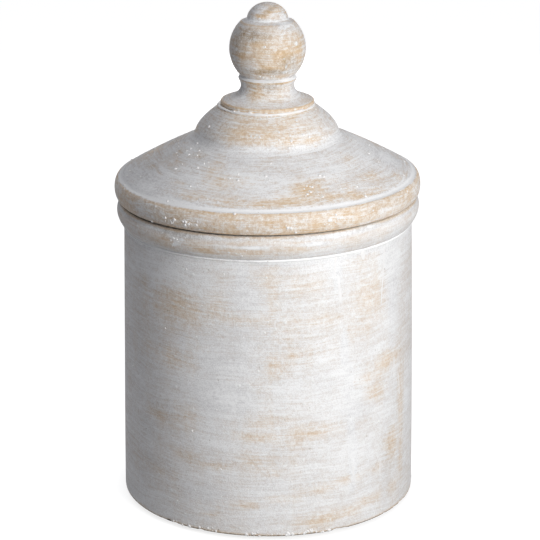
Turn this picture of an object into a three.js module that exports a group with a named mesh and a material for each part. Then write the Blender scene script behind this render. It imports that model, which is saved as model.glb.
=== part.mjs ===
// A stoneware canister: a straight-sided jar on felt pads, and a lid that lifts out of its mouth.
// The lid is a cone with a dome on it, and a hollow ball finial is bedded into the dome's crown.
// Sizes are in millimetres. Z is up, the pot turns about the Z axis, and the pads stand on z = 0.
import * as THREE from "three";

// Clearances
const SEAT_GAP = 0.3; // between two faces that rest on each other
const MOUTH_CLEARANCE = 2.4; // all round, between the lid's spigot and the jar's mouth

// Felt pads, on the middle of the foot ring
const PAD_COUNT = 4;
const PAD_RADIUS = 9;
const PAD_THICKNESS = 2;

// Jar
const JAR_HEIGHT = 181.7; // from its underside to the rim that the lid sits on
const JAR_WALL = 7;
const JAR_FLOOR = 9;
const FOOT_RADIUS = 86.9;
const FOOT_EASE = 1; // how far the foot's arris is rounded
const FOOT_RING_WIDTH = 26;
const FOOT_RECESS = 1.5; // the underside inside the foot ring
const FLOOR_FILLET = 12; // inside, between the wall and the floor
const BELLY_RADIUS = 87.5; // the wall's slow curve is drawn towards this radius
const BELLY_HEIGHT = 52; // at this height above the underside
const NECK_RADIUS = 85; // in the crease below the rim
const RIM_HEIGHT = 15; // the rounded band from the crease to the top of the rim
const RIM_SWELL = 6; // how far the rim's round is drawn out past the crease
const RIM_TOP_SET_OUT = 2.9; // how far the top of that round lies outside the crease
const RIM_EASE = 1.4; // the rim's rounded edges, inside and out

// Lid
const LID_WALL = 7;
const LID_OVERHANG = 0.4; // the lid's lower edge past the top of the rim
const BAND_HEIGHT = 12.2;
const BAND_SWELL = 2.3; // how far the band's round is drawn out past its lower edge
const BAND_ROUND = 1.5; // how much of its height each edge of the band turns in
const BAND_TOP_SET_IN = 0.3; // the arris on top of the band, inside its lower edge
const CONE_RISE = 23.6;
const CONE_CROWN = 1.6; // how far the cone's line is drawn up at its middle
const DOME_RADIUS = 42.8; // where the dome would spring from the cone
const DOME_RISE = 17.4;
const DOME_SHOULDER_IN = 3; // the dome's round is drawn towards a point this far inside its foot
const DOME_SHOULDER_DROP = 8.3; // and this far below the crown
const COVE = 3.2; // how far out and up the hollow between cone and dome reaches
const DOME_BATTER = 1; // how far the dome leans in over the cove's height
const CROWN_RADIUS = 28;
const SPIGOT_DEPTH = 13; // how far the lid reaches down into the mouth
const SPIGOT_WALL = 6;
const SPIGOT_EASE = 1.5;

// Bedding between the lid's crown and the finial
const BED_RADIUS = 27.6;
const BED_THICKNESS = 1.1;
const BED_SLEEVE = 1.2; // round the tenon, in the crown's hole

// Finial
const FINIAL_WALL = 8;
const FLANGE_RADIUS = 27.2;
const FLANGE_EDGE_HEIGHT = 1.6;
const FLANGE_EASE = 0.4;
const FLANGE_SLOPE_RISE = 5; // from the flange's edge to where its slope would reach the neck
const FLARE = 6; // how far out from the neck the slope turns upward
const FLARE_HEIGHT = 4.1; // and how far above the slope's end the neck runs straight
const COLLAR_SET_OUT = 1.1; // the lip of the collar, past the neck
const NECK_WAIST_RADIUS = 15.6;
const COLLAR_HEIGHT = 12.7; // from the flange's edge to the lip
const COLLAR_LIP = 2.4; // the lip's own height
const BALL_RADIUS = 22.2;
const CAP_RADIUS = 12; // the small button on top of the ball
const CAP_LEDGE = 2.4; // the ball's top, left bare round the button
const CAP_RISE = 9.3;
const TENON_RADIUS = 9;
const TENON_PROJECTION = 3; // past the underside of the crown
const VENT_RADIUS = 4; // the hole that lets the hollow ball breathe in the kiln

// How finely the rounds are stepped
const AROUND_POT = 60;
const AROUND_FINIAL = 36;
const AROUND_PAD = 20;
const CURVE_STEPS = 4;
const BALL_STEPS = 10;
const HOLLOW_STEPS = 6;

// Heights that follow from the sizes above
const UNDERSIDE = PAD_THICKNESS + SEAT_GAP;
const FLOOR_TOP = UNDERSIDE + JAR_FLOOR;
const RIM_TOP = UNDERSIDE + JAR_HEIGHT;
const CREASE = RIM_TOP - RIM_HEIGHT;
const LID_SEAT = RIM_TOP + SEAT_GAP;
const BAND_TOP = LID_SEAT + BAND_HEIGHT;
const DOME_FOOT = BAND_TOP + CONE_RISE;
const CROWN_TOP = DOME_FOOT + DOME_RISE;
const CROWN_UNDERSIDE = CROWN_TOP - LID_WALL;
const BED_BOTTOM = CROWN_TOP + SEAT_GAP;
const BED_TOP = BED_BOTTOM + BED_THICKNESS;
const FLANGE_BOTTOM = BED_TOP + SEAT_GAP;
const FLANGE_EDGE_TOP = FLANGE_BOTTOM + FLANGE_EDGE_HEIGHT;
const LIP_BOTTOM = FLANGE_EDGE_TOP + COLLAR_HEIGHT;
const BALL_SEAT = LIP_BOTTOM + COLLAR_LIP;

// Radii that follow
const MOUTH_RADIUS = NECK_RADIUS - JAR_WALL;
const PAD_CIRCLE = FOOT_RADIUS - FOOT_RING_WIDTH / 2;
const RIM_TOP_RADIUS = NECK_RADIUS + RIM_TOP_SET_OUT;
const BAND_BOTTOM_RADIUS = RIM_TOP_RADIUS + LID_OVERHANG;
const BAND_TOP_RADIUS = BAND_BOTTOM_RADIUS - BAND_TOP_SET_IN;
const SPIGOT_OUTER = MOUTH_RADIUS - MOUTH_CLEARANCE;
const SPIGOT_INNER = SPIGOT_OUTER - SPIGOT_WALL;
const SLEEVE_INNER = TENON_RADIUS + SEAT_GAP;
const SLEEVE_OUTER = SLEEVE_INNER + BED_SLEEVE;
const CROWN_HOLE = SLEEVE_OUTER + SEAT_GAP;

const stoneware = new THREE.MeshStandardMaterial({ color: 0xd9d2c6, roughness: 0.72, metalness: 0 });
const wornStoneware = new THREE.MeshStandardMaterial({ color: 0xcdb596, roughness: 0.68, metalness: 0 });
const whiteSlip = new THREE.MeshStandardMaterial({ color: 0xece9e2, roughness: 0.85, metalness: 0 });
const felt = new THREE.MeshStandardMaterial({ color: 0x4a4642, roughness: 0.95, metalness: 0 });

// Turns (radius, height) points about the Z axis. They run down any inside, outwards along the
// underside and up the outside, and either start and end on the axis or close on themselves.
function turned(name, points, around, material) {
  const mesh = new THREE.Mesh(new THREE.LatheGeometry(points, around).rotateX(Math.PI / 2), material);
  mesh.name = name;
  return mesh;
}

// The outside runs in one slow curve up to the crease, and the inside follows it a wall's width in.
function makeJar() {
  const ringInner = FOOT_RADIUS - FOOT_RING_WIDTH;
  const innerFoot = FOOT_RADIUS - JAR_WALL;
  const belly = UNDERSIDE + BELLY_HEIGHT;
  const rimMiddle = (CREASE + RIM_TOP) / 2;
  const outline = new THREE.Path();
  outline.moveTo(0, UNDERSIDE + FOOT_RECESS);
  outline.lineTo(ringInner - FOOT_RECESS, UNDERSIDE + FOOT_RECESS);
  outline.lineTo(ringInner, UNDERSIDE);
  outline.lineTo(FOOT_RADIUS - FOOT_EASE, UNDERSIDE);
  outline.quadraticCurveTo(FOOT_RADIUS, UNDERSIDE, FOOT_RADIUS, UNDERSIDE + FOOT_EASE);
  outline.quadraticCurveTo(BELLY_RADIUS, belly, NECK_RADIUS, CREASE);
  outline.quadraticCurveTo(NECK_RADIUS + RIM_SWELL, rimMiddle, RIM_TOP_RADIUS, RIM_TOP - RIM_EASE);
  outline.quadraticCurveTo(RIM_TOP_RADIUS, RIM_TOP, RIM_TOP_RADIUS - RIM_EASE, RIM_TOP);
  outline.lineTo(MOUTH_RADIUS + RIM_EASE, RIM_TOP);
  outline.quadraticCurveTo(MOUTH_RADIUS, RIM_TOP, MOUTH_RADIUS, RIM_TOP - RIM_EASE);
  outline.lineTo(MOUTH_RADIUS, CREASE);
  outline.quadraticCurveTo(BELLY_RADIUS - JAR_WALL, belly, innerFoot, FLOOR_TOP + FLOOR_FILLET);
  outline.quadraticCurveTo(innerFoot, FLOOR_TOP, innerFoot - FLOOR_FILLET, FLOOR_TOP);
  outline.lineTo(0, FLOOR_TOP);
  return turned("jar", outline.getPoints(CURVE_STEPS), AROUND_POT, stoneware);
}

const CONE_SLOPE = CONE_RISE / (BAND_TOP_RADIUS - DOME_RADIUS);
const CONE_WALL_UPRIGHT = LID_WALL * Math.hypot(1, CONE_SLOPE);

// The cone's straight line, from the band's arris to the dome's foot
function coneTop(radius) {
  return BAND_TOP + (BAND_TOP_RADIUS - radius) * CONE_SLOPE;
}

function coneUnderside(radius) {
  return coneTop(radius) - CONE_WALL_UPRIGHT;
}

// Band, cone and dome outside; a spigot that drops into the mouth, and a hollow above it, inside.
function makeLid() {
  const bandSwell = BAND_BOTTOM_RADIUS + BAND_SWELL;
  const coveOuter = DOME_RADIUS + COVE;
  const coneMiddle = (BAND_TOP_RADIUS + coveOuter) / 2;
  const shoulder = DOME_RADIUS - DOME_SHOULDER_IN;
  const domeInner = DOME_RADIUS - LID_WALL;
  const spigotBottom = LID_SEAT - SPIGOT_DEPTH;
  const outline = new THREE.Path();
  outline.moveTo(SPIGOT_OUTER, LID_SEAT);
  outline.lineTo(BAND_BOTTOM_RADIUS, LID_SEAT);
  outline.bezierCurveTo(
    bandSwell,
    LID_SEAT + BAND_ROUND,
    bandSwell,
    BAND_TOP - BAND_ROUND,
    BAND_TOP_RADIUS,
    BAND_TOP,
  );
  outline.quadraticCurveTo(coneMiddle, coneTop(coneMiddle) + CONE_CROWN, coveOuter, coneTop(coveOuter));
  outline.quadraticCurveTo(DOME_RADIUS, DOME_FOOT, DOME_RADIUS - DOME_BATTER, DOME_FOOT + COVE);
  outline.quadraticCurveTo(shoulder, CROWN_TOP - DOME_SHOULDER_DROP, CROWN_RADIUS, CROWN_TOP);
  outline.lineTo(CROWN_HOLE, CROWN_TOP);
  outline.lineTo(CROWN_HOLE, CROWN_UNDERSIDE);
  outline.lineTo(CROWN_RADIUS - LID_WALL, CROWN_UNDERSIDE);
  outline.quadraticCurveTo(domeInner, CROWN_UNDERSIDE, domeInner, coneUnderside(domeInner));
  outline.lineTo(SPIGOT_INNER, coneUnderside(SPIGOT_INNER));
  outline.lineTo(SPIGOT_INNER, spigotBottom);
  outline.lineTo(SPIGOT_OUTER - SPIGOT_EASE, spigotBottom);
  outline.quadraticCurveTo(SPIGOT_OUTER, spigotBottom, SPIGOT_OUTER, spigotBottom + SPIGOT_EASE);
  outline.lineTo(SPIGOT_OUTER, LID_SEAT);
  return turned("lid", outline.getPoints(CURVE_STEPS), AROUND_POT, stoneware);
}

// A thin bed of slip under the finial's flange, with a sleeve of it down round the tenon
function makeBedding() {
  const outline = new THREE.Path();
  outline.moveTo(SLEEVE_INNER, CROWN_UNDERSIDE);
  outline.lineTo(SLEEVE_OUTER, CROWN_UNDERSIDE);
  outline.lineTo(SLEEVE_OUTER, BED_BOTTOM);
  outline.lineTo(BED_RADIUS, BED_BOTTOM);
  outline.lineTo(BED_RADIUS, BED_TOP);
  outline.lineTo(SLEEVE_INNER, BED_TOP);
  outline.lineTo(SLEEVE_INNER, CROWN_UNDERSIDE);
  return turned("finial_bedding", outline.getPoints(CURVE_STEPS), AROUND_FINIAL, whiteSlip);
}

// The tenon, the foot flange and its flare into the neck, and the neck with the collar's lip
function finialStem() {
  const tenonBottom = CROWN_UNDERSIDE - TENON_PROJECTION;
  const edge = FLANGE_RADIUS - FLANGE_EASE;
  const slopeEnd = FLANGE_EDGE_TOP + FLANGE_SLOPE_RISE;
  const slope = FLANGE_SLOPE_RISE / (edge - NECK_WAIST_RADIUS);
  const lip = NECK_WAIST_RADIUS + COLLAR_SET_OUT;
  const stem = new THREE.Path();
  stem.moveTo(VENT_RADIUS, tenonBottom);
  stem.lineTo(TENON_RADIUS, tenonBottom);
  stem.lineTo(TENON_RADIUS, FLANGE_BOTTOM);
  stem.lineTo(edge, FLANGE_BOTTOM);
  stem.lineTo(FLANGE_RADIUS, FLANGE_BOTTOM + FLANGE_EASE);
  stem.lineTo(FLANGE_RADIUS, FLANGE_EDGE_TOP - FLANGE_EASE);
  stem.lineTo(edge, FLANGE_EDGE_TOP);
  stem.lineTo(NECK_WAIST_RADIUS + FLARE, slopeEnd - FLARE * slope);
  stem.quadraticCurveTo(NECK_WAIST_RADIUS, slopeEnd, NECK_WAIST_RADIUS, slopeEnd + FLARE_HEIGHT);
  stem.lineTo(lip, LIP_BOTTOM);
  stem.quadraticCurveTo(lip, BALL_SEAT, NECK_WAIST_RADIUS, BALL_SEAT);
  return stem.getPoints(CURVE_STEPS);
}

// Stem, ball and button outside; a hollow in the ball, open down through the tenon.
function makeFinial() {
  const seatAngle = Math.acos(NECK_WAIST_RADIUS / BALL_RADIUS);
  const topAngle = Math.acos((CAP_RADIUS + CAP_LEDGE) / BALL_RADIUS);
  const centre = BALL_SEAT + BALL_RADIUS * Math.sin(seatAngle);
  const capFoot = centre + BALL_RADIUS * Math.sin(topAngle);
  const hollow = BALL_RADIUS - FINIAL_WALL;
  const ventAngle = Math.acos(VENT_RADIUS / hollow);
  const quarter = Math.PI / 2;
  const inside = new THREE.EllipseCurve(0, centre, hollow, hollow, quarter, -ventAngle, true);
  const ball = new THREE.EllipseCurve(0, centre, BALL_RADIUS, BALL_RADIUS, -seatAngle, topAngle);
  const cap = new THREE.EllipseCurve(0, capFoot, CAP_RADIUS, CAP_RISE, 0, quarter);
  const points = [
    ...inside.getPoints(HOLLOW_STEPS),
    ...finialStem(),
    ...ball.getPoints(BALL_STEPS).slice(1),
    ...cap.getPoints(CURVE_STEPS),
  ];
  points.at(0).x = 0;
  points.at(-1).x = 0;
  return turned("finial", points, AROUND_FINIAL, wornStoneware);
}

// Felt discs at even steps on the middle of the foot ring
function makePads() {
  const pads = new THREE.Group();
  for (let i = 0; i < PAD_COUNT; i += 1) {
    const angle = ((i + 0.5) * 2 * Math.PI) / PAD_COUNT;
    const disc = new THREE.CylinderGeometry(PAD_RADIUS, PAD_RADIUS, PAD_THICKNESS, AROUND_PAD);
    const pad = new THREE.Mesh(disc.rotateX(Math.PI / 2), felt);
    pad.name = `felt_pad_${i + 1}`;
    pad.position.set(PAD_CIRCLE * Math.cos(angle), PAD_CIRCLE * Math.sin(angle), PAD_THICKNESS / 2);
    pads.add(pad);
  }
  return pads;
}

const jarGroup = new THREE.Group();
jarGroup.add(makeJar(), makePads());

const lidGroup = new THREE.Group();
lidGroup.add(makeLid(), makeBedding(), makeFinial());

const canister = new THREE.Group();
canister.add(jarGroup, lidGroup);

export default canister;
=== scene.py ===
import math
import random

import bpy
import numpy as np
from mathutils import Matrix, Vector, noise
from mathutils.bvhtree import BVHTree


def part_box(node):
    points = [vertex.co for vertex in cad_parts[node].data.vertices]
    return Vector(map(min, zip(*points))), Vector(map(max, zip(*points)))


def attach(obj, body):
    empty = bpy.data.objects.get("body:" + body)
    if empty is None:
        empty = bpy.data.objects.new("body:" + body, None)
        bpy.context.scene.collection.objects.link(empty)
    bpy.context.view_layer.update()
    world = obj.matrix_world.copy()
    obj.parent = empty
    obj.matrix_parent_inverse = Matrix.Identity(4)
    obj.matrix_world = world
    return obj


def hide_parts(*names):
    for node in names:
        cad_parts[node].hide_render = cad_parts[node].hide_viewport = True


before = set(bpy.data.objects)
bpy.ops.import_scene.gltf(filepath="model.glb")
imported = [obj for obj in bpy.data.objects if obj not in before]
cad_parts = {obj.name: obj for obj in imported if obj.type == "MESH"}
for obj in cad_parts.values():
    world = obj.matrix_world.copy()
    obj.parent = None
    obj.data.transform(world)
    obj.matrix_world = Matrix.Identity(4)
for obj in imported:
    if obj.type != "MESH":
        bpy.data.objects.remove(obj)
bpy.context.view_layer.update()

MM = 0.001

# The photograph's camera: its lens and sensor in millimetres, its place and aim in metres
LENS = 156.6
SENSOR = 36.0
PICTURE = 540
EYE = Vector((0.00143, -1.333, 0.5613))
LOOK_AT = Vector((0.00143, 0.0, 0.1363))

# Jar
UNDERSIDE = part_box("jar")[0].z / MM
RIM_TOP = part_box("jar")[1].z / MM
CREASE = RIM_TOP - 15
FOOT_RADIUS = 87.3
FOOT_EASE = 1.2
FOOT_RING_INNER = 60.9
FOOT_RECESS = 1.5
BELLY_HEIGHT = UNDERSIDE + 52
BELLY = (87.0, BELLY_HEIGHT)
NECK_RADIUS = 85.0
CREASE_BEAD = 0.5  # the line of slip that stands out in the crease below the rim
RIM_SWELL = 6.0
RIM_TOP_RADIUS = 87.9
RIM_EASE = 2.0
RIM_GAP = 0.5  # the rim is ground back a little, and shows as a dark line under the lid
MOUTH_RADIUS = 78.0
INNER_BELLY = (80.5, BELLY_HEIGHT)
INNER_FOOT_RADIUS = 79.9
FLOOR_TOP = UNDERSIDE + 9
FLOOR_FILLET = 12.0
THROWING_RINGS = 9.0  # from one finger mark to the next, up the inside
THROWING_DEPTH = 0.35
JAR_OUTSIDE = (95, 270)  # how far along its outline the wall's outside starts and ends

# Lid
SPIGOT_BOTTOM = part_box("lid")[0].z / MM
CROWN_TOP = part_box("lid")[1].z / MM
LID_SEAT = RIM_TOP + 0.3
LID_WALL = 7
SPIGOT_OUTER = 75.6
SPIGOT_INNER = 69.6
BAND_RADIUS = 88.3
BAND_EASE = 1.1
BAND_SWELL = 2.2
BAND_TOP = LID_SEAT + 12.2
BAND_RUN = (12.8, 26)  # how far along the lid's outline the band starts and ends
ARRIS_RADIUS = 88.0
CONE_RISE = 23.6
CONE_CROWN = 1.6
GROOVE_RADIUS = 85.9  # the tooled line just inside the lid's arris
GROOVE_HALF = 1.3
GROOVE_DEPTH = 0.5
GROOVE_SPREAD = 1.3
COVE_RADIUS = 46.0
DOME_RADIUS = 42.8
DOME_FOOT = BAND_TOP + CONE_RISE
CONE_SLOPE = CONE_RISE / (ARRIS_RADIUS - DOME_RADIUS)
CROWN_RADIUS = 28.0
CROWN_HOLE = 10.8
CROWN_UNDERSIDE = CROWN_TOP - LID_WALL
LID_UNDERSIDE_SET_DOWN = LID_WALL * math.hypot(1, CONE_SLOPE)
LID_OUTSIDE = (12, 100)  # how far along the lid's outline its outside starts and ends
SEAT_END = 12.2  # how far along the lid's outline its seat ends

# Finial
TENON_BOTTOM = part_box("finial")[0].z / MM
FINIAL_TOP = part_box("finial")[1].z / MM
FLANGE_RADIUS = 27.2
FLANGE_BOTTOM = CROWN_TOP + 0.9
FLANGE_TOP = CROWN_TOP + 3.3
FLANGE_SLOPE_TOP = FLANGE_TOP + 4.5
WAIST_RADIUS = 15.6
LIP_RADIUS = 16.7
LIP_BOTTOM = FLANGE_TOP + 12.2
BALL_SEAT = LIP_BOTTOM + 2.4
BALL_RADIUS = 22.2
BALL_CENTRE = BALL_SEAT + math.sqrt(BALL_RADIUS**2 - WAIST_RADIUS**2)
CAP_RADIUS = 12.0
CAP_SEAT_RADIUS = 14.7
CAP_FOOT = BALL_CENTRE + math.sqrt(BALL_RADIUS**2 - CAP_SEAT_RADIUS**2)
HOLLOW_RADIUS = 14.2
VENT_RADIUS = 4.0
TENON_RADIUS = 9.0

# The bead of slip that squeezed out under the finial's flange
BEAD_RADIUS = 27.3
BEAD_HEIGHT = CROWN_TOP + 0.45
BEAD_HALF_WIDTH = 1.2
BEAD_HALF_HEIGHT = 0.8

# Felt
PAD_RADIUS = 9.0
PAD_THICKNESS = 2.0
PAD_CIRCLE = 73.9
PAD_EASE = 0.5
PAD_LIFT = 0.05  # how high a pad's underside lies, before its lumps

# The pot isn't quite true, as a hand-made one never is: the lid and rim drop to the left, the foot
# stands a little to the right, and its edge is chipped
LID_LEAN = math.radians(0.65)
RIM_LEAN = math.radians(0.9)
LEAN_FOOT = 90  # the height at which the wall starts to follow the rim
FOOT_DRIFT = 0.45
RIM_DRIFT = 0.25
CHIP_DEPTH = 0.9
UNEVENNESS_SCALE = 14.0  # swells about 70 mm wide
UNEVENNESS = 0.0022  # the most that a swell takes off the radius, as a share of it
SHARP_TURN = 1.1  # the turn of an outline, in radians, at which slip gathers or wears off fully


def linear(code):
    """An sRGB hex colour as the linear colour that a shader takes."""
    parts = [int(code[i : i + 2], 16) / 255 for i in (1, 3, 5)]
    return (*(p / 12.92 if p <= 0.04045 else ((p + 0.055) / 1.055) ** 2.4 for p in parts), 1.0)


def wire(tree, node, inputs):
    """Links or sets inputs of a node. A node given as a value stands for its first output."""
    for socket, value in inputs.items():
        if isinstance(value, bpy.types.Node):
            value = next(output for output in value.outputs if output.enabled)
        if isinstance(value, bpy.types.NodeSocket):
            tree.links.new(value, node.inputs[socket])
        else:
            node.inputs[socket].default_value = value
    return node


def add(tree, kind, inputs=None, **settings):
    """Adds a node with its settings, and its inputs linked or set."""
    made = tree.nodes.new(kind)
    for name, value in settings.items():
        setattr(made, name, value)
    return wire(tree, made, inputs or {})


def new_piece(name, mesh):
    piece = bpy.data.objects.new(name, mesh)
    bpy.context.scene.collection.objects.link(piece)
    return piece


# Camera


def set_camera():
    camera = new_piece("photograph_camera", bpy.data.cameras.new("photograph_camera"))
    camera.data.lens = LENS
    camera.data.sensor_width = SENSOR
    camera.data.clip_end = 20
    camera.location = EYE
    camera.rotation_euler = (LOOK_AT - EYE).to_track_quat("-Z", "Y").to_euler()
    bpy.context.scene.camera = camera
    bpy.context.scene.view_settings.view_transform = "Standard"


def under_pixel(surface, x, y):
    """The point of a surface under a pixel of the photograph, and the face it lies on."""
    forward = (LOOK_AT - EYE).normalized()
    right = forward.cross(Vector((0, 0, 1))).normalized()
    up = right.cross(forward)
    grain = SENSOR / PICTURE
    sight = forward * LENS + right * (x - PICTURE / 2) * grain - up * (y - PICTURE / 2) * grain
    point, _, face, _ = surface.ray_cast(EYE, sight.normalized())
    return point, face


# Profiles


class Profile:
    """The outline that a form is turned from, as (radius, height) points. The clay is on its left."""

    def __init__(self, radius, height, **marks):
        self.points = []
        self.marks = []
        self.mark((radius, height), marks)

    def to(self, *controls, step, **marks):
        """Adds a Bezier run through control points to the last of them."""
        run = [self.points[-1], *controls]
        length = sum(math.dist(a, b) for a, b in zip(run, run[1:]))
        count = max(1, math.ceil(length / step))
        for i in range(1, count + 1):
            t = i / count
            layer = run
            while len(layer) > 1:
                layer = [
                    ((1 - t) * a[0] + t * b[0], (1 - t) * a[1] + t * b[1])
                    for a, b in zip(layer, layer[1:])
                ]
            self.mark(layer[0], marks)
        return self

    def round(self, centre, radii, start, end, step, **marks):
        """Adds an arc about a centre, from one angle to another."""
        count = max(2, math.ceil(max(radii) * abs(end - start) / step))
        for i in range(1, count + 1):
            angle = start + (end - start) * i / count
            point = (
                max(0.0, centre[0] + radii[0] * math.cos(angle)),
                centre[1] + radii[1] * math.sin(angle),
            )
            self.mark(point, marks)
        return self

    def mark(self, point, marks):
        """Adds a point with its finish: pool, where slip gathered, bare, or inside, about 1 for fully so."""
        self.points.append(point)
        self.marks.append([marks.get(name, 0.0) for name in ("pool", "bare", "inside")])


def jar_profile():
    top = RIM_TOP - RIM_GAP
    middle = (CREASE + top) / 2
    outline = Profile(0, UNDERSIDE + FOOT_RECESS, bare=2)
    outline.to((FOOT_RING_INNER - FOOT_RECESS, UNDERSIDE + FOOT_RECESS), step=5, bare=2)
    outline.to((FOOT_RING_INNER, UNDERSIDE), step=0.8, bare=2)
    outline.to((FOOT_RADIUS - FOOT_EASE, UNDERSIDE), step=4, bare=2)
    outline.to((FOOT_RADIUS, UNDERSIDE), (FOOT_RADIUS, UNDERSIDE + FOOT_EASE), step=0.5, bare=0.4)
    outline.to(BELLY, (NECK_RADIUS, CREASE - 2), step=1.7)
    outline.to((NECK_RADIUS + 0.05, CREASE - 1.4), step=0.4, pool=0.4)
    outline.to((NECK_RADIUS + CREASE_BEAD, CREASE - 0.9), step=0.3, pool=0.9)
    outline.to((NECK_RADIUS + CREASE_BEAD, CREASE - 0.4), (NECK_RADIUS - 0.1, CREASE), step=0.25, pool=1)
    outline.to((NECK_RADIUS + 0.7, CREASE + 0.4), step=0.4, pool=0.2)
    outline.to((NECK_RADIUS + RIM_SWELL, middle), (RIM_TOP_RADIUS, top - RIM_EASE), step=0.8)
    outline.to((RIM_TOP_RADIUS, top), (RIM_TOP_RADIUS - RIM_EASE, top), step=0.5)
    outline.to((MOUTH_RADIUS + RIM_EASE, top), step=1.5, inside=0.5)
    outline.to((MOUTH_RADIUS, top), (MOUTH_RADIUS, top - RIM_EASE), step=0.5, inside=1)
    outline.to((MOUTH_RADIUS, CREASE), step=2, inside=1)
    outline.to(INNER_BELLY, (INNER_FOOT_RADIUS, FLOOR_TOP + FLOOR_FILLET), step=2.2, inside=1)
    outline.to(
        (INNER_FOOT_RADIUS, FLOOR_TOP),
        (INNER_FOOT_RADIUS - FLOOR_FILLET, FLOOR_TOP),
        step=2,
        inside=1,
    )
    outline.to((0, FLOOR_TOP), step=4, inside=1)
    outline.points = [
        finger_marked(radius, height) if inside == 1 else (radius, height)
        for (radius, height), (_, _, inside) in zip(outline.points, outline.marks)
    ]
    return outline


def finger_marked(radius, height):
    """The inside of a thrown wall keeps the ridges that the potter's fingers left."""
    if not FLOOR_TOP + FLOOR_FILLET < height < CREASE:
        return radius, height
    ridge = 0.5 - 0.5 * math.cos(height * 2 * math.pi / THROWING_RINGS)
    return radius - THROWING_DEPTH * ridge, height


def cone_top(radius):
    return BAND_TOP + (ARRIS_RADIUS - radius) * CONE_SLOPE


def groove(radius):
    """How much of the tooled line's depth lies at a radius of the cone."""
    return math.exp(-(((radius - GROOVE_RADIUS) / GROOVE_HALF) ** 2))


def groove_slip(radius):
    """How much slip lies about the tooled line: it was wiped off outside, and spread up the cone inside."""
    reach = GROOVE_HALF if radius > GROOVE_RADIUS else GROOVE_SPREAD
    return math.exp(-(((radius - GROOVE_RADIUS) / reach) ** 2))


def lid_profile():
    middle = (ARRIS_RADIUS + COVE_RADIUS) / 2
    swell = BAND_RADIUS + BAND_SWELL
    inner = DOME_RADIUS - LID_WALL
    outline = Profile(SPIGOT_OUTER, LID_SEAT, bare=0.6)
    outline.to((BAND_RADIUS - BAND_EASE, LID_SEAT), step=2, bare=0.6)
    outline.to((BAND_RADIUS, LID_SEAT), (BAND_RADIUS + 0.3, LID_SEAT + BAND_EASE), step=0.45)
    outline.to((swell, LID_SEAT + 3), (swell, BAND_TOP - 2), (ARRIS_RADIUS, BAND_TOP), step=0.6)
    first = len(outline.points)
    cone = (middle, cone_top(middle) + CONE_CROWN)
    outline.to(cone, (COVE_RADIUS, cone_top(COVE_RADIUS)), step=0.75)
    for i in range(first, len(outline.points)):
        radius, height = outline.points[i]
        outline.points[i] = (radius, height - GROOVE_DEPTH * groove(radius))
        outline.marks[i][0] = groove_slip(radius)
    outline.to((DOME_RADIUS, DOME_FOOT), (DOME_RADIUS - 1, DOME_FOOT + 3.2), step=0.6)
    outline.to((DOME_RADIUS - 3, CROWN_TOP - 8.3), (CROWN_RADIUS, CROWN_TOP), step=0.8)
    outline.to((CROWN_HOLE, CROWN_TOP), step=3)
    outline.to((CROWN_HOLE, CROWN_UNDERSIDE), step=3, inside=1)
    outline.to((CROWN_RADIUS - LID_WALL, CROWN_UNDERSIDE), step=2.5, inside=1)
    under = cone_top(inner) - LID_UNDERSIDE_SET_DOWN
    outline.to((inner, CROWN_UNDERSIDE), (inner, under), step=2, inside=1)
    outline.to((SPIGOT_INNER, cone_top(SPIGOT_INNER) - LID_UNDERSIDE_SET_DOWN), step=2, inside=1)
    outline.to((SPIGOT_INNER, SPIGOT_BOTTOM), step=1.8, inside=1)
    outline.to((SPIGOT_OUTER - 1.5, SPIGOT_BOTTOM), step=1.5, inside=1, bare=0.6)
    outline.to((SPIGOT_OUTER, SPIGOT_BOTTOM), (SPIGOT_OUTER, SPIGOT_BOTTOM + 1.5), step=0.6, bare=0.6)
    return outline.to((SPIGOT_OUTER, LID_SEAT), step=1.8, bare=0.6)


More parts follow.
